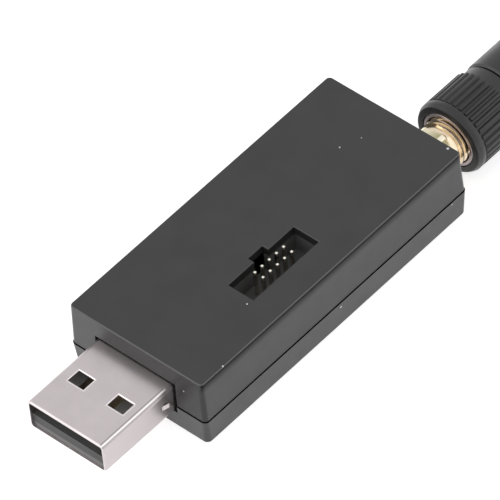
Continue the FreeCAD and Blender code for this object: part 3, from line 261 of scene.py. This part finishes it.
# The shroud is black plastic; its grey colour is painted light, which stands in for the light that
# reaches down into the header.
SHROUD = moulded_plastic("black LCP, matt mould", "#606060", "#666666", 0.5,
                         0.2 * MM, 0.004 * MM)
WHITE_RESIN = moulded_plastic("white fluoroplastic, turned", "#e2e2dd", "#eeeeea", 0.35,
                              0.5 * MM, 0.002 * MM)
BOARD = moulded_plastic("glass laminate, black solder mask", "#10140f", "#161b15", 0.25,
                        0.4 * MM, 0.002 * MM)
EPOXY = moulded_plastic("chip epoxy, transfer moulded", "#202020", "#272727", 0.5,
                        0.1 * MM, 0.002 * MM)
CERAMIC = moulded_plastic("barium titanate, fired", "#8a7458", "#9a8265", 0.45,
                          0.1 * MM, 0.002 * MM)
LAMP = moulded_plastic("clear lamp resin, cast", "#d8e0c8", "#e2e8d4", 0.2,
                       0.3 * MM, 0.001 * MM)
CABLE = moulded_plastic("black cable jacket, extruded", "#1c1c1c", "#222222", 0.4,
                        0.2 * MM, 0.002 * MM)

# Painted light on the plug: a bright painted highlight runs along the fold between its top
# and the side that faces the camera, with a line of painted shade to each side of it, and that
# side is a little darker than the top, also painted shade. The rims of its two windows carry a
# painted highlight too.
PLUG_HIGHLIGHTS_AND_SHADES = (((-29.9, -5.27, 7.38), (5.5, 0.09, 0.06), "#aca4a5"),
              ((-29.8, -5.47, 7.31), (5.6, 0.09, 0.08), "#fffcfc"),
              ((-29.9, -5.68, 7.14), (5.5, 0.12, 0.12), "#aea7a8"),
              ((-30.0, -5.75, 4.95), (5.6, 0.1, 2.05), "#c0b8b9"),
              ((-29.2, -3.0, 7.35), (1.16, 1.41, 0.1), "#eee8e8"),
              ((-29.2, 3.2, 7.35), (1.16, 1.41, 0.1), "#eee8e8"))
NICKEL_SHEET = plated_metal("nickel-plated steel, rolled sheet", "#cbc3c4", "#d2cacb", 0.31,
                            0.08 * MM, 0.0001 * MM, (0.03, 1, 1), 0.01, parts=PLUG_HIGHLIGHTS_AND_SHADES)
NICKEL_TURNED = plated_metal("nickel-plated brass, turned", "#a89ea0", "#b2a8a8", 0.36,
                             0.1 * MM, 0.001 * MM, (1, 0.05, 0.05))
# Painted reflections on the flats of the hexagon, along Y: a darker band, a bright painted
# highlight along the corner between two flats, a dark band beyond it, then the plain tone again.
# Towards the thread, along X, the tone turns warmer.
GOLD = plated_metal("gold-plated brass, turned", "#e6dcbe", "#efe6cc", 0.15,
                    0.1 * MM, 0.0006 * MM, (1, 0.05, 0.05),
                    fades=(("Y", "#b4ac88", -3.4, -5.1), ("Y", "#fff8e2", -5.25, -5.4),
                           ("Y", "#9c9270", -5.8, -5.95), ("Y", "#efe6cc", -6.3, -7.0),
                           ("X", "#f0dec2", 25.2, 25.5)))
# The pins are darker lower down, painted shade inside the header.
GOLD_PIN = plated_metal("gold-flashed pin, drawn", "#fbf6e8", "#fffbf0", 0.15,
                        0.05 * MM, 0.0003 * MM, (1, 1, 0.05), fades=[("Z", "#d2cdc0", 9.7, 9.5)])
STEEL = plated_metal("drawn steel", "#8d8d8d", "#9b9b9b", 0.3,
                     0.1 * MM, 0.001 * MM, (1, 0.05, 1))

NODE_FINISHES = {
    "bottom_case": ABS, "top_cover": ABS, "collar": NYLON, "swivel_base": NYLON,
    "knuckle": NYLON, "whip_sleeve": NYLON, "usb_shell": NICKEL_SHEET, "usb_insulator": TONGUE,
    "usb_contacts": GOLD, "header_housing": SHROUD, "header_pins": GOLD_PIN,
    "jack_body": GOLD, "jack_insulator": WHITE_RESIN, "jack_contact": GOLD,
    "coupling_nut": NICKEL_TURNED, "retaining_ring": GOLD, "antenna_ferrule": GOLD,
    "ferrule_insulator": WHITE_RESIN, "antenna_centre_pin": GOLD, "hinge_pin": STEEL,
    "radiator_tube": GOLD, "feed_cable_lower": CABLE, "feed_cable_upper": CABLE,
    "circuit_board": BOARD, "radio_chip": EPOXY, "usb_bridge_chip": EPOXY,
    "voltage_regulator": EPOXY, "resistors": EPOXY, "capacitors": CERAMIC,
    "filter_coils": CERAMIC, "radio_crystal": STEEL, "clock_crystal": STEEL,
    "status_leds": LAMP,
}
for node, material in NODE_FINISHES.items():
    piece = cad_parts[node]
    piece.data.materials.clear()
    piece.data.materials.append(material)


# Modelling helpers.

def deselect():
    bpy.ops.object.select_all(action="DESELECT")


def work_on(piece):
    """Make one piece the only one selected and the active one."""
    deselect()
    piece.select_set(True)
    bpy.context.view_layer.objects.active = piece


def settle(name):
    """Name the new active piece and put its origin at the frame's."""
    piece = bpy.context.object
    piece.name = name
    bpy.ops.object.transform_apply(location=True, rotation=True, scale=True)
    return piece


def select_faces(piece, test):
    """In edit mode, select the faces whose middle and normal pass a test."""
    bpy.ops.mesh.select_mode(type="FACE")
    bpy.ops.mesh.select_all(action="DESELECT")
    mesh = bmesh.from_edit_mesh(piece.data)
    for face in mesh.faces:
        face.select_set(test(face.calc_center_median() / MM, face.normal))
    bmesh.update_edit_mesh(piece.data)


def close_up(piece):
    """In edit mode, merge doubled corners and turn all faces outwards."""
    bpy.ops.mesh.select_all(action="SELECT")
    bpy.ops.mesh.remove_doubles(threshold=0.001 * MM)
    bpy.ops.mesh.normals_make_consistent(inside=False)
    bpy.ops.object.mode_set(mode="OBJECT")
    return piece


def bevelled(piece, width, segments=2, angle=30):
    """Round the sharp edges of a piece."""
    work_on(piece)
    edges = piece.modifiers.new("edges", "BEVEL")
    edges.width, edges.segments = width * MM, segments
    edges.limit_method, edges.angle_limit = "ANGLE", math.radians(angle)
    edges.harden_normals = False
    bpy.ops.object.modifier_apply(modifier=edges.name)
    return piece


def dress(piece, material, slot, *nodes, smooth=35):
    """Give a finished piece its material, and let it stand for the CAD nodes it details."""
    work_on(piece)
    bpy.ops.object.shade_smooth_by_angle(angle=math.radians(smooth))
    piece.data.materials.clear()
    piece.data.materials.append(material)
    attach(piece, "stick")
    if nodes:
        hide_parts(*nodes)


def block(name, low, high):
    """A box between two corners, in millimetres."""
    deselect()
    low, high = Vector(low) * MM, Vector(high) * MM
    bpy.ops.mesh.primitive_cube_add(size=1, location=(low + high) / 2)
    bpy.context.object.scale = high - low
    return settle(name)


def joined(name, pieces):
    """Join separate pieces into one object."""
    work_on(pieces[0])
    for piece in pieces:
        piece.select_set(True)
    bpy.ops.object.join()
    pieces[0].name = name
    return pieces[0]


# The coupling: everything turned round the antenna's axis. Its places along X come from the
# frame. Its radii, like all lengths below, are in millimetres.

nut_low, nut_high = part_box("coupling_nut")
AXIS = Vector((0.0, (nut_low.y + nut_high.y) / 2, (nut_low.z + nut_high.z) / 2))


def reach(node):
    """Where a CAD node starts and ends along X."""
    low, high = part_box(node)
    return low.x / MM, high.x / MM


CASE_BACK = reach("bottom_case")[1]
LEG_FRONT, JACK_BACK = reach("jack_body")
FLANGE_FRONT, CORE_BACK = reach("jack_insulator")
NUT_FRONT, NUT_BACK = reach("coupling_nut")
RING_BACK = reach("retaining_ring")[1]
GRIP_FRONT, GRIP_BACK = reach("collar")

# The jack: flange and legs, hexagon, barrel and thread.
FLANGE_SIZE, FLANGE_THICKNESS = 6.4, 1.5
LEG_WIDTH, LEG_HEIGHT, LEG_SPACING, LEG_SINK, CAST_EDGE = 1.1, 0.9, 4.6, 0.1, 0.08
HEX_RADIUS, HEX_REACH, HEX_CORNER, HEX_TURN = 3.25, 2.3, 0.3, math.radians(-10)
HEX_CONE, HEX_SINK, HEX_SHOULDER, CONE_SIDES = 0.8, 0.3, 0.05, 128
NECK_RADIUS, BORE_RADIUS, BORE_STEP, MOUTH_RADIUS = 1.6, 2.05, 2.04, 2.35
MOUTH_BEVEL, MOUTH_TAPER, BARREL_SIDES = 0.3, 0.25, 64
THREAD_ROOT, THREAD_CREST, THREAD_PITCH, THREAD_STEPS = 2.85, 3.17, 0.706, 40
THREAD_START, THREAD_SHORT, THREAD_FOOT, THREAD_TOP, THREAD_SINK = 2.8, 0.4, 0.62, 0.16, 0.05
# The nut, and from its front the places of lip, flare, lead-in and thread.
NUT_RADIUS, NUT_BORE, NUT_MOUTH, STEM_HOLE, NUT_SIDES = 3.83, 3.24, 3.3, 2.52, 96
NUT_LIP, NUT_FLARE, NUT_LEAD, NUT_THREAD = 0.12, 0.35, 0.8, 1.0
NUT_EDGE, NUT_LIP_WIDTH = 0.06, 0.1
# The grip: its rounded front, its ribs and its plain bands.
GRIP_RADIUS, GRIP_BORE, GRIP_RIM, GRIP_BEVEL = 5.04, 3.87, 4.75, 0.55
GRIP_LIP, GRIP_LIP_DEPTH, GRIP_SHOULDER = 0.08, 0.07, 0.03
RIB_START, RIB_LENGTH, RIB_VALLEY, RIB_SLOPE, RIBS = 1.3, 5.7, 4.72, 0.13, 34
BAND_RADIUS, BAND_EDGE, RIM_EDGE = 4.65, 0.05, 0.1
HAIR = 0.02  # a step that only keeps two edges apart


def turned(name, profile, sides):
    """Turn a closed profile, x and radius in millimetres, by extruding a ring along it."""
    deselect()
    first_x, first_r = profile[0]
    bpy.ops.mesh.primitive_circle_add(
        vertices=sides, radius=first_r * MM, rotation=(0, math.pi / 2, 0),
        location=AXIS + Vector((first_x * MM, 0, 0)))
    piece = settle(name)
    bpy.ops.object.mode_set(mode="EDIT")
    bpy.ops.mesh.select_all(action="SELECT")
    x, r = first_x, first_r
    for next_x, next_r in [*profile[1:], profile[0]]:
        bpy.ops.mesh.extrude_region_move(
            TRANSFORM_OT_translate={"value": ((next_x - x) * MM, 0, 0)})
        bpy.ops.transform.resize(value=(1, next_r / r, next_r / r), center_override=AXIS)
        x, r = next_x, next_r
    return close_up(piece)


def thread_ridge(name, start, end):
    """The helical ridge of the jack's thread, cut off square at both ends."""
    deselect()
    sunk = THREAD_ROOT - THREAD_SINK
    middle = (sunk + THREAD_CREST) / 2
    foot = AXIS + Vector((start - THREAD_PITCH, 0, 0)) * MM
    bpy.ops.mesh.primitive_plane_add(
        size=1, rotation=(math.pi / 2, 0, 0), location=foot + Vector((0, 0, middle)) * MM)
    bpy.context.object.scale = Vector((THREAD_FOOT, THREAD_CREST - sunk, 1)) * MM
    ridge = settle(name)
    bpy.ops.object.mode_set(mode="EDIT")
    mesh = bmesh.from_edit_mesh(ridge.data)
    level = AXIS.z + middle * MM
    for vert in mesh.verts:
        vert.select_set(vert.co.z > level)
    mesh.select_flush_mode()
    bmesh.update_edit_mesh(ridge.data)
    bpy.ops.transform.resize(value=(THREAD_TOP / THREAD_FOOT, 1, 1), center_override=foot)
    bpy.ops.object.mode_set(mode="OBJECT")
    ridge.data.transform(Matrix.Translation(-AXIS))
    wind = ridge.modifiers.new("wind", "SCREW")
    wind.axis, wind.angle, wind.screw_offset = "X", 2 * math.pi, THREAD_PITCH * MM
    wind.iterations = math.ceil((end - start) / THREAD_PITCH) + 2
    wind.steps = wind.render_steps = THREAD_STEPS
    work_on(ridge)
    bpy.ops.object.modifier_apply(modifier=wind.name)
    ridge.data.transform(Matrix.Translation(AXIS))
    bpy.ops.object.mode_set(mode="EDIT")
    for place, outwards in ((start, False), (end, True)):
        bpy.ops.mesh.select_all(action="SELECT")
        bpy.ops.mesh.bisect(plane_co=(place * MM, 0, 0), plane_no=(1, 0, 0), use_fill=True,
                            clear_inner=not outwards, clear_outer=outwards)
    return close_up(ridge)


def turn_round_axis(piece, angle):
    """Turn the mesh of a piece round the antenna's axis."""
    piece.data.transform(Matrix.Translation(AXIS) @ Matrix.Rotation(angle, 4, "X")
                         @ Matrix.Translation(-AXIS))


def make_hexagon():
    """A hexagonal tube whose end is turned to a shallow cone, as on a bar that was faced off."""
    start = FLANGE_FRONT + FLANGE_THICKNESS
    end = CASE_BACK + HEX_REACH
    bore = THREAD_ROOT - HEX_SINK
    hexagon = turned("jack_hexagon", [
        (start, bore), (start, HEX_RADIUS), (end, HEX_RADIUS), (end, bore)], 6)
    bevelled(hexagon, HEX_CORNER, segments=1, angle=50)
    turn_round_axis(hexagon, HEX_TURN)
    wide = HEX_RADIUS + 1
    cone = turned("facing_cone", [
        (FLANGE_FRONT, BORE_RADIUS), (FLANGE_FRONT, wide), (end - HEX_CONE, wide),
        (end, THREAD_ROOT + HEX_SHOULDER), (end, BORE_RADIUS)], CONE_SIDES)
    facing = hexagon.modifiers.new("facing", "BOOLEAN")
    facing.operation, facing.object = "INTERSECT", cone
    work_on(hexagon)
    bpy.ops.object.modifier_apply(modifier=facing.name)
    bpy.data.objects.remove(cone)
    return hexagon


def make_threaded_jack():
    """The jack: barrel with a rolled thread, faced hexagon, flange and legs."""
    step = FLANGE_FRONT + BORE_STEP
    barrel = turned("jack_barrel", [
        (FLANGE_FRONT, NECK_RADIUS), (FLANGE_FRONT, THREAD_ROOT),
        (JACK_BACK - MOUTH_BEVEL, THREAD_ROOT), (JACK_BACK, THREAD_ROOT - MOUTH_TAPER),
        (JACK_BACK, MOUTH_RADIUS), (CORE_BACK, MOUTH_RADIUS), (CORE_BACK, BORE_RADIUS),
        (step, BORE_RADIUS), (step, NECK_RADIUS)], BARREL_SIDES)
    thread = thread_ridge("jack_thread", CASE_BACK + THREAD_START, JACK_BACK - THREAD_SHORT)
    y, z = AXIS.y / MM, AXIS.z / MM
    half = FLANGE_SIZE / 2
    flange = block("jack_flange", (FLANGE_FRONT, y - half, z - half),
                   (FLANGE_FRONT + FLANGE_THICKNESS, y + half, z + half))
    legs = []
    board_low, board_high = (corner.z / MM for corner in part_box("circuit_board"))
    for low in (board_high, board_low - LEG_HEIGHT):
        for side in (-LEG_SPACING / 2, LEG_SPACING / 2):
            left = y + side - LEG_WIDTH / 2
            legs.append(block("leg", (LEG_FRONT, left, low),
                              (FLANGE_FRONT + LEG_SINK, left + LEG_WIDTH, low + LEG_HEIGHT)))
    for piece in (flange, *legs):
        bevelled(piece, CAST_EDGE)
    jack = joined("threaded_jack", [barrel, thread, make_hexagon(), flange, *legs])
    dress(jack, GOLD, "jack_brass", "jack_body", smooth=25)


def make_coupling_nut():
    """The nut inside the grip: a turned ring with a broken rim and a wide lead-in."""
    nut = turned("ringed_nut", [
        (NUT_FRONT, NUT_MOUTH + NUT_LIP_WIDTH), (NUT_FRONT, NUT_RADIUS - NUT_EDGE),
        (NUT_FRONT + NUT_EDGE, NUT_RADIUS), (NUT_BACK, NUT_RADIUS), (NUT_BACK, STEM_HOLE),
        (RING_BACK, STEM_HOLE), (RING_BACK, NUT_BORE), (NUT_FRONT + NUT_THREAD, NUT_BORE),
        (NUT_FRONT + NUT_LEAD, NUT_MOUTH), (NUT_FRONT + NUT_FLARE, NUT_MOUTH),
        (NUT_FRONT + NUT_LIP, NUT_MOUTH + NUT_LIP_WIDTH - HAIR),
        (NUT_FRONT + NUT_LIP, NUT_MOUTH + NUT_LIP_WIDTH)], NUT_SIDES)
    dress(nut, NICKEL_TURNED, "nut_nickel", "coupling_nut")


def make_knurled_collar():
    """The grip: a moulded sleeve whose ribs are raised between two plain bands."""
    sides = 3 * RIBS
    front = GRIP_FRONT + RIB_START
    back = front + RIB_LENGTH
    collar = turned("knurled_grip", [
        (GRIP_FRONT, GRIP_BORE + HAIR), (GRIP_FRONT, GRIP_RIM - GRIP_LIP),
        (GRIP_FRONT + GRIP_LIP_DEPTH, GRIP_RIM),
        (GRIP_FRONT + GRIP_BEVEL, GRIP_RADIUS - GRIP_SHOULDER),
        (GRIP_FRONT + GRIP_BEVEL + RIM_EDGE, GRIP_RADIUS), (front - RIM_EDGE, GRIP_RADIUS),
        (front, RIB_VALLEY + HAIR), (back, RIB_VALLEY), (back + HAIR, BAND_RADIUS),
        (GRIP_BACK - BAND_EDGE, BAND_RADIUS), (GRIP_BACK, BAND_RADIUS - BAND_EDGE),
        (GRIP_BACK, STEM_HOLE), (NUT_BACK + HAIR, STEM_HOLE), (NUT_BACK + HAIR, GRIP_BORE)], sides)
    bpy.ops.object.mode_set(mode="EDIT")

    def on_rib(middle, normal):
        """Two of every three facets between the bands carry a rib."""
        if not front < middle.x < back or abs(normal.x) > 0.5:
            return False
        across = Vector((middle.y - AXIS.y / MM, middle.z - AXIS.z / MM))
        if across.length < BAND_RADIUS + HAIR:
            return False
        turn = math.atan2(across.y, across.x) / (2 * math.pi) * sides
        return math.floor(turn) % 3 != 0

    select_faces(collar, on_rib)
    bpy.ops.mesh.inset(thickness=RIB_SLOPE * MM, depth=(GRIP_RADIUS - RIB_VALLEY) * MM,
                       use_boundary=True, use_even_offset=True)
    close_up(collar)
    bevelled(collar, BAND_EDGE, angle=25)
    dress(collar, NYLON, "antenna_plastic", "collar", smooth=20)


make_threaded_jack()
make_coupling_nut()
make_knurled_collar()


# The header's pins.

PIN_SIZE, PIN_PITCH, PIN_EDGE = 0.4, 1.27, 0.04
TIP_LENGTH, TIP_SHARE = 0.3, 0.8


def make_pins():
    """Five by two square pins with drawn, tapered tips."""
    low, high = (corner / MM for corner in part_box("header_pins"))
    pins = []
    for column in range(5):
        for line in range(2):
            x, y = low.x + column * PIN_PITCH, low.y + line * PIN_PITCH
            pin = block("pin", (x, y, low.z), (x + PIN_SIZE, y + PIN_SIZE, high.z - TIP_LENGTH))
            bpy.ops.object.mode_set(mode="EDIT")
            select_faces(pin, lambda middle, normal: normal.z > 0.9)
            bpy.ops.mesh.extrude_region_move(
                TRANSFORM_OT_translate={"value": (0, 0, TIP_LENGTH * MM)})
            middle = Vector((x + PIN_SIZE / 2, y + PIN_SIZE / 2, high.z)) * MM
            bpy.ops.transform.resize(value=(TIP_SHARE, TIP_SHARE, 1), center_override=middle)
            pins.append(bevelled(close_up(pin), PIN_EDGE))
    dress(joined("tapered_pins", pins), GOLD_PIN, "contact_gold", "header_pins")


make_pins()


# Floor, world and lamps, in metres and watts.

FLOOR_SIZE, FLOOR_LEVEL, FLOOR_GLOW = 6, -0.02 * MM, 0.7
SKY_STRENGTH, SKY_GLOW = 0.58, 0.3
LAMP_DISTANCE, LAMP_SIZE = 0.6, 0.8


def lit_backdrop(tree, strength, extra):
    """Add light for the camera, mirrors and glass alone, so that the backdrop shows white."""
    path = add(tree, "ShaderNodeLightPath").outputs
    seen = math_node(tree, "MAXIMUM", path["Is Camera Ray"], path["Is Glossy Ray"])
    seen = math_node(tree, "MAXIMUM", seen, path["Is Transmission Ray"])
    return math_node(tree, "MULTIPLY_ADD", seen, extra, strength)


def make_floor():
    """A sheet of white paper, which is clear from below."""
    deselect()
    bpy.ops.mesh.primitive_plane_add(size=FLOOR_SIZE, location=(0, 0, FLOOR_LEVEL))
    floor = settle("floor")
    material, tree, _ = new_material("white paper floor")
    paper = add(tree, "ShaderNodeBsdfDiffuse", {"Color": colour("#f2f2f2")})
    glow = add(tree, "ShaderNodeEmission",
               {"Color": (1, 1, 1, 1), "Strength": lit_backdrop(tree, 0.0, FLOOR_GLOW)})
    both = add(tree, "ShaderNodeAddShader", {0: paper.outputs[0], 1: glow.outputs[0]})
    clear = add(tree, "ShaderNodeBsdfTransparent")
    back = add(tree, "ShaderNodeNewGeometry").outputs["Backfacing"]
    sheet = add(tree, "ShaderNodeMixShader", {0: back, 1: both.outputs[0], 2: clear.outputs[0]})
    add(tree, "ShaderNodeOutputMaterial", {"Surface": sheet.outputs[0]})
    floor.data.materials.append(material)


def make_world():
    """An even white sky."""
    world = bpy.data.worlds.new("studio")
    world.use_nodes = True
    tree = world.node_tree
    tree.nodes.clear()
    sky = add(tree, "ShaderNodeBackground",
              {"Color": (1, 1, 1, 1), "Strength": lit_backdrop(tree, SKY_STRENGTH, SKY_GLOW)})
    add(tree, "ShaderNodeOutputWorld", {"Surface": sky.outputs[0]})
    bpy.context.scene.world = world


def make_lamp(name, direction, power):
    """A square soft box that faces the stick."""
    data = bpy.data.lights.new(name, "AREA")
    data.shape, data.size, data.energy = "SQUARE", LAMP_SIZE, power
    lamp = bpy.data.objects.new(name, data)
    bpy.context.collection.objects.link(lamp)
    direction = Vector(direction).normalized()
    lamp.location = AIM + direction * LAMP_DISTANCE
    lamp.rotation_euler = direction.to_track_quat("Z", "Y").to_euler()


make_floor()
make_world()
make_lamp("left_soft_box", (-0.805, 0.49, 0.34), 2.0)
make_lamp("right_soft_box", (0.47, -0.81, 0.355), 0.7)

bpy.context.scene.view_settings.view_transform = "Standard"
